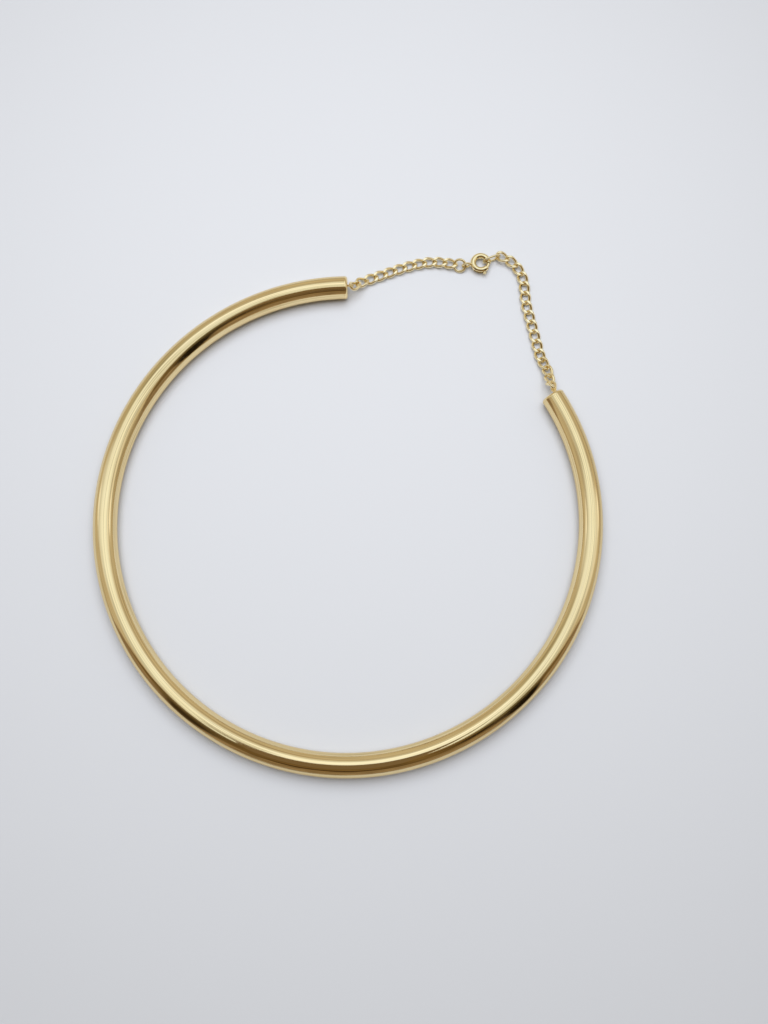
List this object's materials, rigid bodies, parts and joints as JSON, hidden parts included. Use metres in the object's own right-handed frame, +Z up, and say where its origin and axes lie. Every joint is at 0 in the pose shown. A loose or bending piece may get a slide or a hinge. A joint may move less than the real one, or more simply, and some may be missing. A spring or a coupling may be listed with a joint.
{
  "type": "choker necklace",
  "caption": "Rigid round-tube choker, open at the back and closed by two short curb chains and a spring ring clasp, lying flat.",
  "frame": {"origin": "centre of the collar's circle, on the surface that it lies on", "axes": "+Z up out of the circle's plane, +Y through the middle of the opening at the back, where the chains and clasp are, -Y at the front of the neck"},
  "size_m": [0.1294, 0.1486, 0.006],
  "materials": {
    "polished_gold": "mirror-polished pale gold plate",
    "chain_gold": "polished gold plate, slightly softer on the small links",
    "clasp_gold": "polished gold plate"
  },
  "bodies": {
    "choker": {"collar_tube": "polished_gold", "end_plug_left": "polished_gold", "end_plug_right": "polished_gold", "chain_left": "chain_gold", "jump_ring": "chain_gold", "clasp_ring": "clasp_gold", "hook_link": "chain_gold", "chain_right": "chain_gold"},
    "bolt": {"clasp_bolt": "clasp_gold"}
  },
  "joints": [
    {"name": "bolt_slide", "type": "hinge", "parent": "choker", "child": "bolt", "pos_m": [-0.0032, 0.078, 0.00145], "axis": [0, 0, -1], "range_deg": [0, 50], "stiffness_Nm_per_rad": 0.002, "springref_deg": -28.65}
  ]
}
